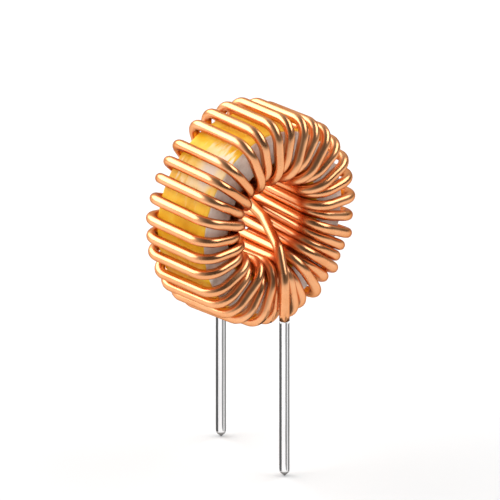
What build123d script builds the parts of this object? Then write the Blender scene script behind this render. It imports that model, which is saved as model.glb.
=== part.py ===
from build123d import *
import math
import os

# A toroidal inductor that stands on edge on a circuit board: a coated iron-powder ring core, one
# length of thick enamelled copper wire wound round it, and the wire's two tinned ends, which are
# its leads.
#
# Frame: the ring's axis is parallel to Y and its grey front face looks toward -Y. +Z is up. The
# origin is the middle of the two leads in the plane of the board's top, and the leads go down
# through the board. Angles round the ring start at its bottom and grow toward -X, which is
# clockwise seen from the front. A depth is measured along Y from the middle of the ring.

# Core
core_outer_diameter = 12.7
core_inner_diameter = 7.7
core_height = 4.6
rim_edge_bevel = 0.22
bore_edge_bevel = 0.60

# Wire: its section is a polygon inside the true round, and each bend is a few straight facets
wire_diameter = 0.70
wire_sides = 10
bend_facets = 3
bend_radius = 1.0
front_rim_bend_radius = 1.25
front_bore_bend_radius = 1.5
wide_bend_radius = 1.4

# Gaps that keep the wire clear of the core and of itself
seat_gap = 0.04
turn_gap = 0.01
lift_gap = 0.06
lift_share_at_bend = 0.83
lift_share_at_rim = 0.4

# How far the loose turns stand off the core, as a mean and a swing round the ring
face_slack = 0.10
front_rim_slack = 0.25
front_bore_slack = 0.20
rim_slack = 0.30
rim_slack_swing = 0.12
rim_loosest_angle = 200.0
bore_slack = 0.12
bore_slack_swing = 0.07
bore_loosest_angle = 90.0

# How the hand-laid turns lie: knots of (turn, degrees round the ring) for as many turns as laid_turns.
# The turns are bore_fill times as many as lie side by side in the bore, so that some ride up.
bore_fill = 1.09
laid_turns = 33
rim_lay = (
    (0, 299.5),
    (1, 291.5),
    (2, 281.5),
    (6, 234.3),
    (7, 221.5),
    (8, 212.0),
    (10, 190.0),
    (13, 156.5),
    (14, 141.0),
    (16, 119.7),
    (18, 96.0),
    (20, 75.0),
    (21, 62.0),
    (23, 41.0),
    (25, 16.5),
    (26, 5.5),
    (27, -9.5),
    (28, -18.5),
    (30, -40.3),
    (33, -61.1),
)
bore_lay = (
    (0, 296.0),
    (11, 175.1),
    (24, 21.0),
    (31, -40.5),
    (33, -64.0),
)
rim_lean = 2.3
bore_lean = 9.35

# The first stretch of wire crosses the bore over the other turns, from the front lead to the back
crossing_start_lift = 0.96
crossing_start_angle = -2.2
crossing_start_rise = 1.75
crossing_middle_lift = 0.80
crossing_middle_angle = 297.7
crossing_middle_depth = 0.37
crossing_end_drop = 0.345
crossing_end_angle = 282.4
crossing_end_gap = 0.33
first_turn_angle = 295.3
first_turn_reach = 1.05

# Leads, placed across the ring from its middle
front_lead_offset = -0.57
rear_lead_offset = 1.20
lead_clearance = 0.51
rear_exit_bulge = 0.34
lead_length = 10.07
ring_clearance = 0.30

# The leads' tinned ends. The tin runs out thin from its full thickness up to where the enamel stops.
tinned_diameter = 0.70
tinned_top = 1.07
full_tin_top = 0.20
enamel_thickness = 0.02
enamel_gap = 0.005
tip_taper = 0.40
tip_radius = 0.08

# Sizes and places that follow from those above
wire_radius = wire_diameter / 2
pitch_needed = wire_diameter + turn_gap
core_outer_radius = core_outer_diameter / 2
core_inner_radius = core_inner_diameter / 2
core_mean_radius = (core_outer_radius + core_inner_radius) / 2
ring_height = core_outer_radius + seat_gap + wire_diameter + ring_clearance
ring_shift = -(front_lead_offset + rear_lead_offset) / 2
face_depth = core_height / 2 + face_slack + wire_radius
second_layer_depth = face_depth + wire_diameter + crossing_end_gap
lead_depth = face_depth + wire_diameter + lead_clearance
bore_layer_radius = core_inner_radius - seat_gap - wire_radius
second_layer_radius = bore_layer_radius - wire_diameter - lift_gap
face_crowding_radius = bore_layer_radius + bend_radius
turn_count = int(bore_fill * 2 * math.pi * bore_layer_radius / pitch_needed)
front_lead_x = ring_shift + front_lead_offset
rear_lead_x = ring_shift + rear_lead_offset
wire_end = tinned_top + enamel_gap


def at(radius, angle, depth):
    """The point at a radius and an angle round the ring's axis, and at a depth along it."""
    turned = math.radians(angle)
    x = ring_shift - radius * math.sin(turned)
    z = ring_height - radius * math.cos(turned)
    return Vector(x, depth, z)


def lay_angle(knots, turn):
    """The angle of a turn, read between the knots on either side of its place in the winding."""
    place = turn * laid_turns / turn_count
    for (place_a, angle_a), (place_b, angle_b) in zip(knots, knots[1:]):
        if place <= place_b:
            break
    return angle_a + (angle_b - angle_a) * (place - place_a) / (place_b - place_a)


def swing(mean, amount, angle, loosest):
    """A slack that is loosest at one angle round the ring and tightest opposite it."""
    return mean + amount * math.cos(math.radians(angle - loosest))


def crowding_lift(knots, turn, radius):
    """How far an odd turn rides up where its neighbours leave it too little room at a radius."""
    if turn % 2 == 0:
        return 0.0
    nearby = [lay_angle(knots, turn + step) for step in (-1, 0, 1, 2)]
    pitch = radius * math.radians(min(a - b for a, b in zip(nearby, nearby[1:])))
    return math.sqrt(max(0.0, (wire_diameter + lift_gap) ** 2 - pitch**2))


def rim_depth(turn):
    """The depth at the rim of a turn's stretch over either face."""
    return face_depth + crowding_lift(rim_lay, turn, face_crowding_radius) * lift_share_at_rim


def back_of_bore_angle(turn, depth):
    """The angle at which a turn's stretch through the bore, which leans, comes to a depth."""
    return lay_angle(bore_lay, turn) - bore_lean * (depth + face_depth) / (2 * face_depth)


def turn_corners(turn):
    """The corners of one turn: along the rim to the front, in over the front face, through the bore."""
    rim_angle = lay_angle(rim_lay, turn)
    bore_angle = lay_angle(bore_lay, turn)
    slack_on_rim = swing(rim_slack, rim_slack_swing, rim_angle, rim_loosest_angle)
    slack_in_bore = swing(bore_slack, bore_slack_swing, bore_angle, bore_loosest_angle)
    rim_radius = core_outer_radius + slack_on_rim + wire_radius
    lift_in_bore = crowding_lift(bore_lay, turn, bore_layer_radius)
    lift_on_face = crowding_lift(rim_lay, turn, face_crowding_radius)
    bore_radius = bore_layer_radius - lift_in_bore
    bore_depth = face_depth + max(lift_on_face, lift_in_bore * lift_share_at_bend)
    back_rim_depth = second_layer_depth if turn == 0 else rim_depth(turn - 1)
    return [
        at(rim_radius, rim_angle + rim_lean / 2, back_rim_depth),
        at(rim_radius, rim_angle - rim_lean / 2, -rim_depth(turn) - front_rim_slack),
        at(bore_radius - slack_in_bore, bore_angle, -bore_depth - front_bore_slack),
        at(bore_radius, back_of_bore_angle(turn, face_depth), bore_depth),
    ]


def winding_route():
    """The wire's centre line from the front lead's end to the rear lead's end, with round bends."""
    corners = [corner for turn in range(turn_count) for corner in turn_corners(turn)]
    last_bore_angle = back_of_bore_angle(turn_count - 1, lead_depth + rear_exit_bulge)
    crossing_start = at(second_layer_radius - crossing_start_lift, crossing_start_angle, -face_depth)
    lead_in = [
        Vector(front_lead_x, -lead_depth, wire_end),
        Vector(front_lead_x, -lead_depth, crossing_start.Z - crossing_start_rise),
        crossing_start,
        at(second_layer_radius - crossing_middle_lift, crossing_middle_angle, crossing_middle_depth),
        at(second_layer_radius + crossing_end_drop, crossing_end_angle, second_layer_depth),
        at(core_outer_radius - first_turn_reach, first_turn_angle, second_layer_depth),
    ]
    lead_out = [
        at(bore_layer_radius, last_bore_angle, lead_depth + rear_exit_bulge),
        Vector(rear_lead_x, lead_depth, ring_height - core_mean_radius),
        Vector(rear_lead_x, lead_depth, wire_end),
    ]
    lead_radii = [wide_bend_radius] * (len(lead_in) - 1)
    turn_radii = [bend_radius, front_rim_bend_radius, front_bore_bend_radius, bend_radius] * turn_count
    radii = lead_radii + turn_radii[:-1] + [bend_radius, wide_bend_radius]
    return FilletPolyline(*lead_in, *corners[:-1], *lead_out, radius=radii)


def chord_points(route):
    """The ends of the straight runs of a route, and points along each bend."""
    points = [route @ 0]
    for edge in route.edges():
        steps = 1 if edge.geom_type == GeomType.LINE else bend_facets
        points += [edge @ (step / steps) for step in range(1, steps + 1)]
    return points


def make_winding():
    """One continuous wire, swept along its route with mitred joints."""
    route = Polyline(*chord_points(winding_route()))
    section = Plane(origin=route @ 0, z_dir=route % 0) * RegularPolygon(wire_radius, wire_sides)
    return sweep(section, path=route, transition=Transition.RIGHT)


def make_core():
    """A pressed ring with bevelled edges, sharper at the rim, together with its coating."""
    profile = Rectangle(core_outer_radius - core_inner_radius, core_height)
    by_radius = profile.vertices().sort_by(Axis.X)
    profile = chamfer(by_radius[:2], bore_edge_bevel)
    profile = chamfer(profile.vertices().sort_by(Axis.X)[-2:], rim_edge_bevel)
    ring = revolve(Pos(core_mean_radius, 0, 0) * profile, axis=Axis.Y)
    return Pos(ring_shift, 0, ring_height) * ring


def make_tinned_end(x, y):
    """The tinned end of a lead, round and drawn to a blunt tip, below where the enamel stops."""
    radius = tinned_diameter / 2
    outline = Polyline(
        (0, -lead_length),
        (tip_radius, -lead_length),
        (radius, -lead_length + tip_taper),
        (radius, full_tin_top),
        (wire_radius - enamel_thickness, tinned_top),
        (0, tinned_top),
        close=True,
    )
    return Pos(x, y, 0) * revolve(Plane.XZ * make_face(outline), axis=Axis.Z)


os.makedirs("parts", exist_ok=True)
export_step(make_core(), "parts/core.step")
export_step(make_winding(), "parts/winding.step")
export_step(make_tinned_end(front_lead_x, -lead_depth), "parts/front_lead_tin.step")
export_step(make_tinned_end(rear_lead_x, lead_depth), "parts/rear_lead_tin.step")
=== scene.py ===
import math

import bpy
from mathutils import Matrix, Quaternion, Vector, noise


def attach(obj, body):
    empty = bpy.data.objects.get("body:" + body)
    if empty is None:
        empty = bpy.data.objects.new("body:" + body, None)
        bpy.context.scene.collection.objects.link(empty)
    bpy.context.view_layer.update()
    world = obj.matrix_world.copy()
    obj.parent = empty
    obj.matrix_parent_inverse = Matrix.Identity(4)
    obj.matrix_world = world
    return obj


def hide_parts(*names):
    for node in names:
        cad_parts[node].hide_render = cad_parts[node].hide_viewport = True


# A toroidal inductor that stands on edge: a coated ring core, thick enamelled copper wire wound
# round it, and a tinned lead in front and one behind. Lengths are in millimetres up to the point
# where a mesh is made, and in metres in the materials and for the camera's clipping.

MM = 0.001

# Frame: the ring's middle, and how the wire lies round it, as in the solid model
RING_SHIFT = -0.315
RING_HEIGHT = 7.39
CORE_OUTER_RADIUS = 6.35
CORE_INNER_RADIUS = 3.85
CORE_HALF_HEIGHT = 2.30
RIM_EDGE_RADIUS = 0.22
BORE_EDGE_RADIUS = 0.60
WIRE_RADIUS = 0.35
WIRE_DIAMETER = 2 * WIRE_RADIUS
BEND_RADIUS = 1.0
FRONT_RIM_BEND_RADIUS = 1.25
FRONT_BORE_BEND_RADIUS = 1.5
WIDE_BEND_RADIUS = 1.4
LIFT_GAP = 0.06
LIFT_SHARE_AT_BEND = 0.83
LIFT_SHARE_AT_RIM = 0.4
FACE_SLACK = 0.10
FRONT_RIM_SLACK = 0.25
FRONT_BORE_SLACK = 0.20
RIM_SLACK = 0.30
RIM_SLACK_SWING = 0.12
RIM_LOOSEST_ANGLE = 200.0
BORE_SLACK = 0.12
BORE_SLACK_SWING = 0.07
BORE_LOOSEST_ANGLE = 90.0
SEAT_GAP = 0.04
TURN_COUNT = 33
RIM_LEAN = 2.3
BORE_LEAN = 9.35
RIM_LAY = (
    (0, 299.5),
    (1, 291.5),
    (2, 281.5),
    (6, 234.3),
    (7, 221.5),
    (8, 212.0),
    (10, 190.0),
    (13, 156.5),
    (14, 141.0),
    (16, 119.7),
    (18, 96.0),
    (20, 75.0),
    (21, 62.0),
    (23, 41.0),
    (25, 16.5),
    (26, 5.5),
    (27, -9.5),
    (28, -18.5),
    (30, -40.3),
    (33, -61.1),
)
BORE_LAY = (
    (0, 296.0),
    (11, 175.1),
    (24, 21.0),
    (31, -40.5),
    (33, -64.0),
)
CROSSING_START_LIFT = 0.96
CROSSING_START_ANGLE = -2.2
CROSSING_START_RISE = 1.75
CROSSING_MIDDLE_LIFT = 0.80
CROSSING_MIDDLE_ANGLE = 297.7
CROSSING_MIDDLE_DEPTH = 0.37
CROSSING_END_DROP = 0.345
CROSSING_END_ANGLE = 282.4
CROSSING_END_GAP = 0.33
FIRST_TURN_ANGLE = 295.3
FIRST_TURN_REACH = 1.05
FRONT_LEAD_OFFSET = -0.57
REAR_LEAD_OFFSET = 1.20
LEAD_CLEARANCE = 0.51
REAR_EXIT_BULGE = 0.34
LEAD_LENGTH = 10.07
TINNED_TOP = 1.07
TINNED_RADIUS = 0.35
WIRE_INTO_TIN = 0.05
CUT_TOP = -LEAD_LENGTH + 0.42
CUT_BLEND = 0.10

FACE_DEPTH = CORE_HALF_HEIGHT + FACE_SLACK + WIRE_RADIUS
SECOND_LAYER_DEPTH = FACE_DEPTH + WIRE_DIAMETER + CROSSING_END_GAP
LEAD_DEPTH = FACE_DEPTH + WIRE_DIAMETER + LEAD_CLEARANCE
BORE_LAYER_RADIUS = CORE_INNER_RADIUS - SEAT_GAP - WIRE_RADIUS
SECOND_LAYER_RADIUS = BORE_LAYER_RADIUS - WIRE_DIAMETER - LIFT_GAP
FACE_CROWDING_RADIUS = BORE_LAYER_RADIUS + BEND_RADIUS
CORE_MEAN_RADIUS = (CORE_OUTER_RADIUS + CORE_INNER_RADIUS) / 2
FRONT_LEAD_X = RING_SHIFT + FRONT_LEAD_OFFSET
REAR_LEAD_X = RING_SHIFT + REAR_LEAD_OFFSET

# The tin's skin: rows at its feathered top as (drop below the top, radius), rows at its cut end as
# (drop below where the cut begins, radius), how uneven its top edge is, and how far it wanders from
# the round, with how quickly each changes round the lead and along it
TIN_TOP_ROWS = ((0.0, 0.345), (0.04, 0.350), (0.12, TINNED_RADIUS))
TIN_CUT_ROWS = ((0.10, 0.335), (0.20, 0.27), (0.32, 0.14), (0.40, 0.06))
TIN_TOP_WAVE = 0.05
TIN_TOP_WAVE_ROUND = 2.0
TIN_WANDER = 0.003
TIN_WANDER_ROUND = 1.5
TIN_WANDER_ALONG = 0.6

# Mesh fineness
WIRE_SIDES = 20
BEND_STEPS = 10
RUN_STEP = 0.45
CORE_STEPS = 240
TIN_SIDES = 32
TIN_STEPS = 90

# Photograph: the camera's direction, the width of its view and the point at its middle
CAMERA_AZIMUTH = -43.87
CAMERA_ELEVATION = 22.19
VIEW_WIDTH = 33.19
AIM_RIGHT = 0.046
AIM_DOWN = 2.435
CAMERA_DISTANCE = 200.0
CLIP_START = 0.001
CLIP_END = 10.0

# Coating, in metres: the middle of the pale patch on the rim, how far it is most worn and how far
# it goes, and where the front face's grey ends
WORN_SPOT = (-0.0048, -0.0006, 0.0119)
WORN_MOST = 0.0006
WORN_REACH = 0.0034
GREY_UP_TO = -0.00216
YELLOW_FROM = -0.00212
GREY_WANDER = 0.00016

# Floor: how far it goes each way, its own light and how pale it is where it is seen
FLOOR_REACH = 1500.0
FLOOR_GLOW = 0.14
FLOOR_SHADE = 0.62

# The room's brightness, for what is matt, and by height and by side for what shines
WORLD_STRENGTH = 0.80
ROOM_BY_HEIGHT = ((0.0, 1.0), (0.35, 1.0), (0.75, 0.50), (1.0, 0.34))
ROOM_BY_SIDE = ((0.0, 0.05), (0.30, 0.10), (0.56, 0.55), (0.72, 1.05))
BRIGHT_SIDE = (-0.20, 0.98, 0.0)

# Cards beside a lead, as (across to the right, near end, far end, brightness). The ends are measured
# from the lead, away from the camera.
FLAG_TOP = 0.66
FLAGS = (
    (-0.85, -0.62, 3.40, 0.11),
    (0.85, -2.60, -0.72, 0.28),
    (0.85, -0.36, 0.70, 0.24),
)


# The wire's route

def at(radius, angle, depth):
    """The point at a radius and an angle round the ring's axis, and at a depth along it."""
    turned = math.radians(angle)
    x = RING_SHIFT - radius * math.sin(turned)
    z = RING_HEIGHT - radius * math.cos(turned)
    return Vector((x, depth, z))


def lay_angle(knots, turn):
    """The angle of a turn, read between the knots on either side of it."""
    for (turn_a, angle_a), (turn_b, angle_b) in zip(knots, knots[1:]):
        if turn <= turn_b:
            break
    return angle_a + (angle_b - angle_a) * (turn - turn_a) / (turn_b - turn_a)


def swing(mean, amount, angle, loosest):
    """A slack that is loosest at one angle round the ring and tightest opposite it."""
    return mean + amount * math.cos(math.radians(angle - loosest))


def crowding_lift(knots, turn, radius):
    """How far an odd turn rides up where its neighbours leave it too little room at a radius."""
    if turn % 2 == 0:
        return 0.0
    nearby = [lay_angle(knots, turn + step) for step in (-1, 0, 1, 2)]
    pitch = radius * math.radians(min(a - b for a, b in zip(nearby, nearby[1:])))
    return math.sqrt(max(0.0, (WIRE_DIAMETER + LIFT_GAP) ** 2 - pitch**2))


def rim_depth(turn):
    """The depth at the rim of a turn's stretch over either face."""
    return FACE_DEPTH + crowding_lift(RIM_LAY, turn, FACE_CROWDING_RADIUS) * LIFT_SHARE_AT_RIM


def back_of_bore_angle(turn, depth):
    """The angle at which a turn's stretch through the bore, which leans, comes to a depth."""
    return lay_angle(BORE_LAY, turn) - BORE_LEAN * (depth + FACE_DEPTH) / (2 * FACE_DEPTH)


def turn_corners(turn):
    """The corners of one turn: along the rim to the front, in over the front face, through the bore."""
    rim_angle = lay_angle(RIM_LAY, turn)
    bore_angle = lay_angle(BORE_LAY, turn)
    slack_on_rim = swing(RIM_SLACK, RIM_SLACK_SWING, rim_angle, RIM_LOOSEST_ANGLE)
    slack_in_bore = swing(BORE_SLACK, BORE_SLACK_SWING, bore_angle, BORE_LOOSEST_ANGLE)
    rim_radius = CORE_OUTER_RADIUS + slack_on_rim + WIRE_RADIUS
    lift_in_bore = crowding_lift(BORE_LAY, turn, BORE_LAYER_RADIUS)
    lift_on_face = crowding_lift(RIM_LAY, turn, FACE_CROWDING_RADIUS)
    bore_radius = BORE_LAYER_RADIUS - lift_in_bore
    bore_depth = FACE_DEPTH + max(lift_on_face, lift_in_bore * LIFT_SHARE_AT_BEND)
    back_rim_depth = SECOND_LAYER_DEPTH if turn == 0 else rim_depth(turn - 1)
    return [
        at(rim_radius, rim_angle + RIM_LEAN / 2, back_rim_depth),
        at(rim_radius, rim_angle - RIM_LEAN / 2, -rim_depth(turn) - FRONT_RIM_SLACK),
        at(bore_radius - slack_in_bore, bore_angle, -bore_depth - FRONT_BORE_SLACK),
        at(bore_radius, back_of_bore_angle(turn, FACE_DEPTH), bore_depth),
    ]


def wire_corners():
    """All the corners of the wire, from the front lead's end to the rear lead's end, with bend radii."""
    corners = [corner for turn in range(TURN_COUNT) for corner in turn_corners(turn)]
    last_bore_angle = back_of_bore_angle(TURN_COUNT - 1, LEAD_DEPTH + REAR_EXIT_BULGE)
    crossing_start = at(SECOND_LAYER_RADIUS - CROSSING_START_LIFT, CROSSING_START_ANGLE, -FACE_DEPTH)
    wire_end = TINNED_TOP - WIRE_INTO_TIN
    lead_in = [
        Vector((FRONT_LEAD_X, -LEAD_DEPTH, wire_end)),
        Vector((FRONT_LEAD_X, -LEAD_DEPTH, crossing_start.z - CROSSING_START_RISE)),
        crossing_start,
        at(SECOND_LAYER_RADIUS - CROSSING_MIDDLE_LIFT, CROSSING_MIDDLE_ANGLE, CROSSING_MIDDLE_DEPTH),
        at(SECOND_LAYER_RADIUS + CROSSING_END_DROP, CROSSING_END_ANGLE, SECOND_LAYER_DEPTH),
        at(CORE_OUTER_RADIUS - FIRST_TURN_REACH, FIRST_TURN_ANGLE, SECOND_LAYER_DEPTH),
    ]
    lead_out = [
        at(BORE_LAYER_RADIUS, last_bore_angle, LEAD_DEPTH + REAR_EXIT_BULGE),
        Vector((REAR_LEAD_X, LEAD_DEPTH, RING_HEIGHT - CORE_MEAN_RADIUS)),
        Vector((REAR_LEAD_X, LEAD_DEPTH, wire_end)),
    ]
    points = lead_in + corners[:-1] + lead_out
    lead_radii = [WIDE_BEND_RADIUS] * len(lead_in)
    turn_radii = [BEND_RADIUS, FRONT_RIM_BEND_RADIUS, FRONT_BORE_BEND_RADIUS, BEND_RADIUS] * TURN_COUNT
    return points, lead_radii + turn_radii + [WIDE_BEND_RADIUS, WIDE_BEND_RADIUS]


def bend_points(before, corner, after, radius):
    """Points along the round bend that replaces a corner, from one straight run to the next."""
    back = (before - corner).normalized()
    ahead = (after - corner).normalized()
    turned = math.pi - back.angle(ahead)
    reach = radius * math.tan(turned / 2)
    centre = corner + (back + ahead).normalized() * radius / math.cos(turned / 2)
    spoke = corner + back * reach - centre
    axis = spoke.cross(corner + ahead * reach - centre).normalized()
    return [centre + Quaternion(axis, turned * i / BEND_STEPS) @ spoke for i in range(BEND_STEPS + 1)]


def with_steps(start, following):
    """The following points, after evenly spaced points on the straight run that leads to them."""
    run = following[0] - start
    count = max(1, round(run.length / RUN_STEP))
    return [start + run * (i / count) for i in range(1, count)] + following


def route_points(points, radii):
    """The wire's centre line: round bends, and straight runs cut into short steps."""
    line = [points[0]]
    for i in range(1, len(points) - 1):
        line += with_steps(line[-1], bend_points(points[i - 1], points[i], points[i + 1], radii[i]))
    return line + with_steps(line[-1], [points[-1]])


# Meshes

def link_mesh(name, points, faces):
    """A new object with a mesh of points given in millimetres."""
    mesh = bpy.data.meshes.new(name)
    mesh.from_pydata([tuple(Vector(point) * MM) for point in points], [], faces)
    made = bpy.data.objects.new(name, mesh)
    bpy.context.scene.collection.objects.link(made)
    return made


def add_piece(name, rows, ring, replaced):
    """A smooth piece whose skin joins each row of points to the next: a ring, or a tube with ends."""
    sides = len(rows[0])
    points = [point for row in rows for point in row]
    faces = []
    joined_rows = len(rows) if ring else len(rows) - 1
    for i in range(joined_rows):
        here = i * sides
        there = (i + 1) % len(rows) * sides
        for k in range(sides):
            n = (k + 1) % sides
            faces.append((here + k, here + n, there + n, there + k))
    if not ring:
        faces.append(tuple(reversed(range(sides))))
        faces.append(tuple(range(len(points) - sides, len(points))))
    piece = link_mesh(name, points, faces)
    piece.data.validate()
    piece.data.shade_smooth()
    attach(piece, "root")
    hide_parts(replaced)
    return piece


def spokes(sides):
    """Level directions of unit length, evenly spaced round a circle."""
    turns = [2 * math.pi * k / sides for k in range(sides)]
    return [Vector((math.cos(turned), math.sin(turned), 0)) for turned in turns]


def tube_rows(line):
    """Rings of points round the wire's centre line. They are carried along it without twist."""
    rows = []
    circle = spokes(WIRE_SIDES)
    tangent = (line[1] - line[0]).normalized()
    side = tangent.orthogonal().normalized()
    for i, point in enumerate(line):
        before = line[max(0, i - 1)]
        after = line[min(len(line) - 1, i + 1)]
        heading = (after - before).normalized()
        side = tangent.rotation_difference(heading) @ side
        side = (side - heading * side.dot(heading)).normalized()
        tangent = heading
        up = heading.cross(side)
        rows.append([point + (side * spoke.x + up * spoke.y) * WIRE_RADIUS for spoke in circle])
    return rows


def make_wire():
    """The enamelled wire, in one length."""
    points, radii = wire_corners()
    rows = tube_rows(route_points(points, radii))
    return add_piece("wire", rows, ring=False, replaced="winding")


def core_profile():
    """The ring's section, with rounded edges, as points of radius and depth in order."""
    corners = [
        (CORE_INNER_RADIUS, -CORE_HALF_HEIGHT, BORE_EDGE_RADIUS),
        (CORE_OUTER_RADIUS, -CORE_HALF_HEIGHT, RIM_EDGE_RADIUS),
        (CORE_OUTER_RADIUS, CORE_HALF_HEIGHT, RIM_EDGE_RADIUS),
        (CORE_INNER_RADIUS, CORE_HALF_HEIGHT, BORE_EDGE_RADIUS),
    ]
    flat = [Vector((radius, depth, 0)) for radius, depth, _ in corners]
    bends = [bend_points(flat[i - 1], flat[i], flat[(i + 1) % 4], corners[i][2]) for i in range(4)]
    return [point for i in range(4) for point in with_steps(bends[i - 1][-1], bends[i])]


def make_core():
    """The ring with its coating."""
    profile = core_profile()
    angles = [360.0 * i / CORE_STEPS for i in range(CORE_STEPS)]
    rows = [[at(point.x, angle, point.y) for point in profile] for angle in angles]
    return add_piece("core_coating", rows, ring=True, replaced="core")


def make_tin(name, x, y, replaced):
    """A lead's coat of tin: a little uneven, feathered at its top and drawn to a cut tip below."""
    axis = Vector((x, y, 0))
    circle = spokes(TIN_SIDES)
    straight_top = TINNED_TOP - TIN_TOP_ROWS[-1][0]
    straight_step = (CUT_TOP - straight_top) / TIN_STEPS
    levels = [(TINNED_TOP - drop, radius, TIN_TOP_WAVE) for drop, radius in TIN_TOP_ROWS]
    levels += [(straight_top + straight_step * i, TINNED_RADIUS, 0.0) for i in range(1, TIN_STEPS + 1)]
    rows = []
    for z, radius, wave in levels:
        row = []
        for spoke in circle:
            along = Vector((0, 0, z * TIN_WANDER_ALONG + x))
            wander = TIN_WANDER * noise.noise(spoke * TIN_WANDER_ROUND + along)
            height = z + wave * noise.noise(spoke * TIN_TOP_WAVE_ROUND + Vector((x, 0, 0)))
            row.append(axis + Vector((0, 0, height)) + spoke * (radius + wander))
        rows.append(row)
    for drop, radius in TIN_CUT_ROWS:
        rows.append([axis + Vector((0, 0, CUT_TOP - drop)) + spoke * radius for spoke in circle])
    return add_piece(name, rows, ring=False, replaced=replaced)


# Materials

def node_maker(tree):
    """A helper that adds a node to a tree and sets its properties and sockets by name."""

    def node(kind, **values):
        made = tree.nodes.new(kind)
        for key, value in values.items():
            if hasattr(made, key):
                setattr(made, key, value)
            else:
                made.inputs[key.replace("_", " ")].default_value = value
        return made

    return node


def new_material(name):
    """A material with its shader, and helpers that link and add nodes."""
    material = bpy.data.materials.new(name)
    material.use_nodes = True
    tree = material.node_tree
    return material, tree.links.new, tree.nodes["Principled BSDF"], node_maker(tree)


def ramp(node, stops):
    """A colour ramp with its stops as (place, colour)."""
    made = node("ShaderNodeValToRGB")
    elements = made.color_ramp.elements
    while len(elements) < len(stops):
        elements.new(0.5)
    for element, (place, colour) in zip(elements, stops):
        element.position = place
        element.color = (*colour, 1.0)
    return made


def grey_ramp(node, stops):
    """A grey ramp with its stops as (place, brightness)."""
    return ramp(node, [(place, (level, level, level)) for place, level in stops])


def copper_material():
    """Copper under clear enamel: small waves, with a warmer tone and more gloss in places."""
    material, link, shader, node = new_material("enamelled_copper")
    place = node("ShaderNodeTexCoord")
    tone = node("ShaderNodeTexNoise", Scale=420.0, Detail=3.0, Roughness=0.55)
    colours = ramp(node, [(0.30, (0.87, 0.375, 0.158)), (0.70, (0.97, 0.485, 0.24))])
    link(place.outputs["Object"], tone.inputs["Vector"])
    link(tone.outputs["Fac"], colours.inputs["Fac"])
    link(colours.outputs["Color"], shader.inputs["Base Color"])
    wave = node("ShaderNodeTexNoise", Scale=900.0, Detail=2.0)
    bump = node("ShaderNodeBump", Strength=0.15, Distance=0.00003)
    link(place.outputs["Object"], wave.inputs["Vector"])
    link(wave.outputs["Fac"], bump.inputs["Height"])
    link(bump.outputs["Normal"], shader.inputs["Normal"])
    rough = node("ShaderNodeMapRange", From_Min=0.3, From_Max=0.7, To_Min=0.22, To_Max=0.34)
    link(tone.outputs["Fac"], rough.inputs["Value"])
    link(rough.outputs["Result"], shader.inputs["Roughness"])
    shader.inputs["Metallic"].default_value = 1.0
    shader.inputs["Specular Tint"].default_value = (0.36, 0.15, 0.08, 1.0)
    shader.inputs["Coat Weight"].default_value = 0.15
    shader.inputs["Coat Roughness"].default_value = 0.12
    shader.inputs["Coat IOR"].default_value = 1.55
    return material


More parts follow.
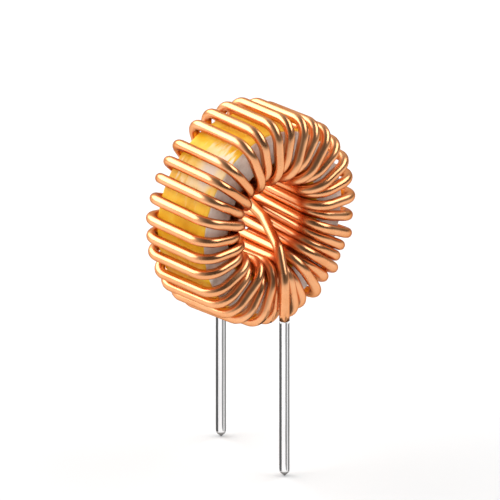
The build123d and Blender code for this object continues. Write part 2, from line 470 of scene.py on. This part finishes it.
def coating_material():
    """Hard coating: yellow, worn pale on one side of the rim, with a pale grey front face."""
    material, link, shader, node = new_material("core_coating")
    place = node("ShaderNodeTexCoord")
    split = node("ShaderNodeSeparateXYZ")
    link(place.outputs["Object"], split.inputs["Vector"])
    mottle = node("ShaderNodeTexNoise", Scale=700.0, Detail=5.0, Roughness=0.6)
    link(place.outputs["Object"], mottle.inputs["Vector"])
    yellow = ramp(node, [
        (0.32, (0.78, 0.40, 0.008)),
        (0.50, (0.92, 0.55, 0.018)),
        (0.68, (0.95, 0.68, 0.07)),
    ])
    chalk = ramp(node, [
        (0.38, (0.93, 0.62, 0.10)),
        (0.50, (0.94, 0.78, 0.42)),
        (0.64, (0.80, 0.72, 0.60)),
    ])
    grey = ramp(node, [
        (0.34, (0.55, 0.50, 0.43)),
        (0.50, (0.80, 0.75, 0.67)),
        (0.64, (0.92, 0.89, 0.82)),
    ])
    link(mottle.outputs["Fac"], yellow.inputs["Fac"])
    link(mottle.outputs["Fac"], grey.inputs["Fac"])

    strokes = node("ShaderNodeMapping")
    strokes.inputs["Scale"].default_value = (0.22, 1.0, 0.22)
    brushed = node("ShaderNodeTexNoise", Scale=2400.0, Detail=4.0, Roughness=0.65)
    link(place.outputs["Object"], strokes.inputs["Vector"])
    link(strokes.outputs["Vector"], brushed.inputs["Vector"])
    patches = node("ShaderNodeTexNoise", Scale=420.0, Detail=2.0)
    link(place.outputs["Object"], patches.inputs["Vector"])
    link(patches.outputs["Fac"], chalk.inputs["Fac"])
    from_spot = node("ShaderNodeVectorMath", operation="DISTANCE")
    from_spot.inputs[1].default_value = WORN_SPOT
    link(place.outputs["Object"], from_spot.inputs[0])
    near = node("ShaderNodeMapRange", From_Min=WORN_MOST, From_Max=WORN_REACH, To_Min=0.28, To_Max=-0.22)
    link(from_spot.outputs["Value"], near.inputs["Value"])
    wear = node("ShaderNodeMath", operation="ADD")
    link(near.outputs["Result"], wear.inputs[0])
    link(brushed.outputs["Fac"], wear.inputs[1])
    worn = node("ShaderNodeMapRange", From_Min=0.46, From_Max=0.58)
    link(wear.outputs["Value"], worn.inputs["Value"])
    rim = node("ShaderNodeMix", data_type="RGBA")
    link(worn.outputs["Result"], rim.inputs["Factor"])
    link(yellow.outputs["Color"], rim.inputs["A"])
    link(chalk.outputs["Color"], rim.inputs["B"])

    edge_noise = node("ShaderNodeTexNoise", Scale=500.0, Detail=3.0)
    link(place.outputs["Object"], edge_noise.inputs["Vector"])
    shifted = node("ShaderNodeMath", operation="MULTIPLY_ADD")
    shifted.inputs[1].default_value = GREY_WANDER
    link(edge_noise.outputs["Fac"], shifted.inputs[0])
    link(split.outputs["Y"], shifted.inputs[2])
    face = node("ShaderNodeMapRange", From_Min=GREY_UP_TO, From_Max=YELLOW_FROM, To_Min=1.0, To_Max=0.0)
    link(shifted.outputs["Value"], face.inputs["Value"])
    paint = node("ShaderNodeMix", data_type="RGBA")
    link(face.outputs["Result"], paint.inputs["Factor"])
    link(rim.outputs["Result"], paint.inputs["A"])
    link(grey.outputs["Color"], paint.inputs["B"])
    link(paint.outputs["Result"], shader.inputs["Base Color"])
    rough = node("ShaderNodeMapRange", From_Min=0.3, From_Max=0.7, To_Min=0.45, To_Max=0.65)
    link(mottle.outputs["Fac"], rough.inputs["Value"])
    link(rough.outputs["Result"], shader.inputs["Roughness"])
    shader.inputs["Specular IOR Level"].default_value = 0.35
    bump = node("ShaderNodeBump", Strength=0.45, Distance=0.00005)
    link(brushed.outputs["Fac"], bump.inputs["Height"])
    link(bump.outputs["Normal"], shader.inputs["Normal"])
    return material


def tin_material():
    """Bright tin, with faint streaks down the lead and a dull cut end."""
    material, link, shader, node = new_material("tin")
    place = node("ShaderNodeTexCoord")
    stretch = node("ShaderNodeMapping")
    stretch.inputs["Scale"].default_value = (1.0, 1.0, 0.06)
    streaks = node("ShaderNodeTexNoise", Scale=2600.0, Detail=4.0)
    link(place.outputs["Object"], stretch.inputs["Vector"])
    link(stretch.outputs["Vector"], streaks.inputs["Vector"])
    colours = ramp(node, [(0.3, (0.90, 0.90, 0.91)), (0.7, (0.99, 0.99, 0.99))])
    link(streaks.outputs["Fac"], colours.inputs["Fac"])
    height = node("ShaderNodeSeparateXYZ")
    link(place.outputs["Object"], height.inputs["Vector"])
    cut = node("ShaderNodeMapRange", From_Min=CUT_TOP * MM, From_Max=(CUT_TOP - CUT_BLEND) * MM)
    link(height.outputs["Z"], cut.inputs["Value"])
    dulled = node("ShaderNodeMix", data_type="RGBA")
    dulled.inputs["B"].default_value = (0.26, 0.25, 0.24, 1)
    link(cut.outputs["Result"], dulled.inputs["Factor"])
    link(colours.outputs["Color"], dulled.inputs["A"])
    link(dulled.outputs["Result"], shader.inputs["Base Color"])
    rough = node("ShaderNodeMapRange", From_Min=0.3, From_Max=0.7, To_Min=0.09, To_Max=0.15)
    link(streaks.outputs["Fac"], rough.inputs["Value"])
    link(rough.outputs["Result"], shader.inputs["Roughness"])
    bump = node("ShaderNodeBump", Strength=0.08, Distance=0.00002)
    link(streaks.outputs["Fac"], bump.inputs["Height"])
    link(bump.outputs["Normal"], shader.inputs["Normal"])
    shader.inputs["Metallic"].default_value = 1.0
    return material


# Studio

def floor_material():
    """A pale matt floor. The camera and what shines see it white, and only its deeper shadow shows."""
    material, link, shader, node = new_material("floor")
    shader.inputs["Base Color"].default_value = (0.82, 0.82, 0.82, 1)
    shader.inputs["Roughness"].default_value = 0.9
    shader.inputs["Specular IOR Level"].default_value = 0.0
    glow = node("ShaderNodeEmission", Strength=FLOOR_GLOW)
    shade = node("ShaderNodeBsdfDiffuse", Color=(FLOOR_SHADE, FLOOR_SHADE, FLOOR_SHADE, 1))
    seen = node("ShaderNodeAddShader")
    link(glow.outputs["Emission"], seen.inputs[0])
    link(shade.outputs["BSDF"], seen.inputs[1])
    path = node("ShaderNodeLightPath")
    looked_at = node("ShaderNodeMath", operation="MAXIMUM")
    link(path.outputs["Is Camera Ray"], looked_at.inputs[0])
    link(path.outputs["Is Glossy Ray"], looked_at.inputs[1])
    chosen = node("ShaderNodeMixShader")
    link(looked_at.outputs["Value"], chosen.inputs["Fac"])
    link(shader.outputs["BSDF"], chosen.inputs[1])
    link(seen.outputs["Shader"], chosen.inputs[2])
    link(chosen.outputs["Shader"], material.node_tree.nodes["Material Output"].inputs["Surface"])
    return material


def make_floor():
    """The floor, on which the leads' tips stand."""
    sides = ((-1, -1), (1, -1), (1, 1), (-1, 1))
    corners = [(FLOOR_REACH * across, FLOOR_REACH * along, -LEAD_LENGTH) for across, along in sides]
    floor = link_mesh("floor", corners, [(0, 1, 2, 3)])
    floor.data.materials.append(floor_material())


def camera_right():
    """The level direction that points right in the camera's view."""
    turned = math.radians(CAMERA_AZIMUTH)
    return Vector((math.cos(turned), math.sin(turned), 0))


def card_material(name, shade):
    """An even grey that needs no light."""
    material, link, _, node = new_material(name)
    glow = node("ShaderNodeEmission", Color=(shade, shade, shade, 1))
    link(glow.outputs["Emission"], material.node_tree.nodes["Material Output"].inputs["Surface"])
    return material


def make_flags(x, y, name):
    """Small cards beside a lead, seen only in what shines, that draw grey stripes down the lead."""
    right = camera_right()
    behind = Vector((0, 0, 1)).cross(right)
    low = Vector((x, y, -LEAD_LENGTH))
    high = Vector((x, y, FLAG_TOP))
    for i, (across, near, far, shade) in enumerate(FLAGS):
        start = right * across + behind * near
        end = right * across + behind * far
        corners = [low + start, low + end, high + end, high + start]
        flag = link_mesh(f"flag_{name}_{i}", corners, [(0, 1, 2, 3)])
        flag.data.materials.append(card_material(flag.name, shade))
        flag.visible_camera = False
        flag.visible_diffuse = False
        flag.visible_transmission = False
        flag.visible_shadow = False


def direction_from(azimuth, elevation):
    """The direction away from the ring, at an azimuth from its front and an elevation."""
    a = math.radians(azimuth)
    e = math.radians(elevation)
    return Vector((math.sin(a) * math.cos(e), -math.cos(a) * math.cos(e), math.sin(e)))


def area_light(name, azimuth, elevation, distance, width, height, power):
    """A soft box that faces the ring."""
    light = bpy.data.lights.new(name, "AREA")
    light.shape = "RECTANGLE"
    light.size = width * MM
    light.size_y = height * MM
    light.energy = power
    lamp = bpy.data.objects.new(name, light)
    bpy.context.scene.collection.objects.link(lamp)
    away = direction_from(azimuth, elevation)
    lamp.location = (Vector((RING_SHIFT, 0, RING_HEIGHT)) + away * distance) * MM
    lamp.rotation_euler = away.to_track_quat("Z", "Y").to_euler()


def set_world():
    """A pale room. What shines sees it bright behind the object, dimmer overhead and dark in front."""
    world = bpy.data.worlds.new("studio")
    bpy.context.scene.world = world
    world.use_nodes = True
    tree = world.node_tree
    link = tree.links.new
    node = node_maker(tree)
    room = tree.nodes["Background"]
    room.inputs["Color"].default_value = (1, 1, 1, 1)
    room.inputs["Strength"].default_value = WORLD_STRENGTH
    direction = node("ShaderNodeTexCoord")
    split = node("ShaderNodeSeparateXYZ")
    link(direction.outputs["Generated"], split.inputs["Vector"])
    height = grey_ramp(node, ROOM_BY_HEIGHT)
    link(split.outputs["Z"], height.inputs["Fac"])
    toward = node("ShaderNodeVectorMath", operation="DOT_PRODUCT")
    toward.inputs[1].default_value = BRIGHT_SIDE
    link(direction.outputs["Generated"], toward.inputs[0])
    spread = node("ShaderNodeMapRange", From_Min=-1.0)
    link(toward.outputs["Value"], spread.inputs["Value"])
    side = grey_ramp(node, ROOM_BY_SIDE)
    link(spread.outputs["Result"], side.inputs["Fac"])
    shade = node("ShaderNodeMix", data_type="RGBA", blend_type="MULTIPLY", Factor=1.0)
    link(height.outputs["Color"], shade.inputs["A"])
    link(side.outputs["Color"], shade.inputs["B"])
    mirrored = node("ShaderNodeBackground")
    link(shade.outputs["Result"], mirrored.inputs["Color"])
    path = node("ShaderNodeLightPath")
    chosen = node("ShaderNodeMixShader")
    link(path.outputs["Is Glossy Ray"], chosen.inputs["Fac"])
    link(room.outputs["Background"], chosen.inputs[1])
    link(mirrored.outputs["Background"], chosen.inputs[2])
    link(chosen.outputs["Shader"], tree.nodes["World Output"].inputs["Surface"])


def set_camera():
    """The camera at the photograph's angle, without perspective."""
    away = direction_from(CAMERA_AZIMUTH, CAMERA_ELEVATION)
    right = camera_right()
    up = away.cross(right)
    aim = Vector((RING_SHIFT, 0, RING_HEIGHT)) + right * AIM_RIGHT - up * AIM_DOWN
    data = bpy.data.cameras.new("camera")
    data.type = "ORTHO"
    data.ortho_scale = VIEW_WIDTH * MM
    data.clip_start = CLIP_START
    data.clip_end = CLIP_END
    camera = bpy.data.objects.new("camera", data)
    bpy.context.scene.collection.objects.link(camera)
    turned = Matrix((right, up, away)).transposed().to_4x4()
    camera.matrix_world = Matrix.Translation((aim + away * CAMERA_DISTANCE) * MM) @ turned
    bpy.context.scene.camera = camera


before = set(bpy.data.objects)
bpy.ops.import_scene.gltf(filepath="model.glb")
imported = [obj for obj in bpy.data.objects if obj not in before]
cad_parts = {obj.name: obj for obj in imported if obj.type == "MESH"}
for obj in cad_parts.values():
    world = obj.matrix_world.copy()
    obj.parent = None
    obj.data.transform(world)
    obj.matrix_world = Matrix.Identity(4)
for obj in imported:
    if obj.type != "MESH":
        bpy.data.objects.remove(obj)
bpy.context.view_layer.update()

wire = make_wire()
core = make_core()
front_tin = make_tin("front_tin", FRONT_LEAD_X, -LEAD_DEPTH, "front_lead_tin")
rear_tin = make_tin("rear_tin", REAR_LEAD_X, LEAD_DEPTH, "rear_lead_tin")
wire.data.materials.append(copper_material())
core.data.materials.append(coating_material())
tin = tin_material()
front_tin.data.materials.append(tin)
rear_tin.data.materials.append(tin)

make_floor()
set_world()
area_light("key", azimuth=-150, elevation=36, distance=150, width=210, height=120, power=0.25)
area_light("fill", azimuth=58, elevation=46, distance=150, width=150, height=80, power=0.12)
make_flags(FRONT_LEAD_X, -LEAD_DEPTH, "front")
make_flags(REAR_LEAD_X, LEAD_DEPTH, "rear")
set_camera()
bpy.context.scene.view_settings.view_transform = "Standard"
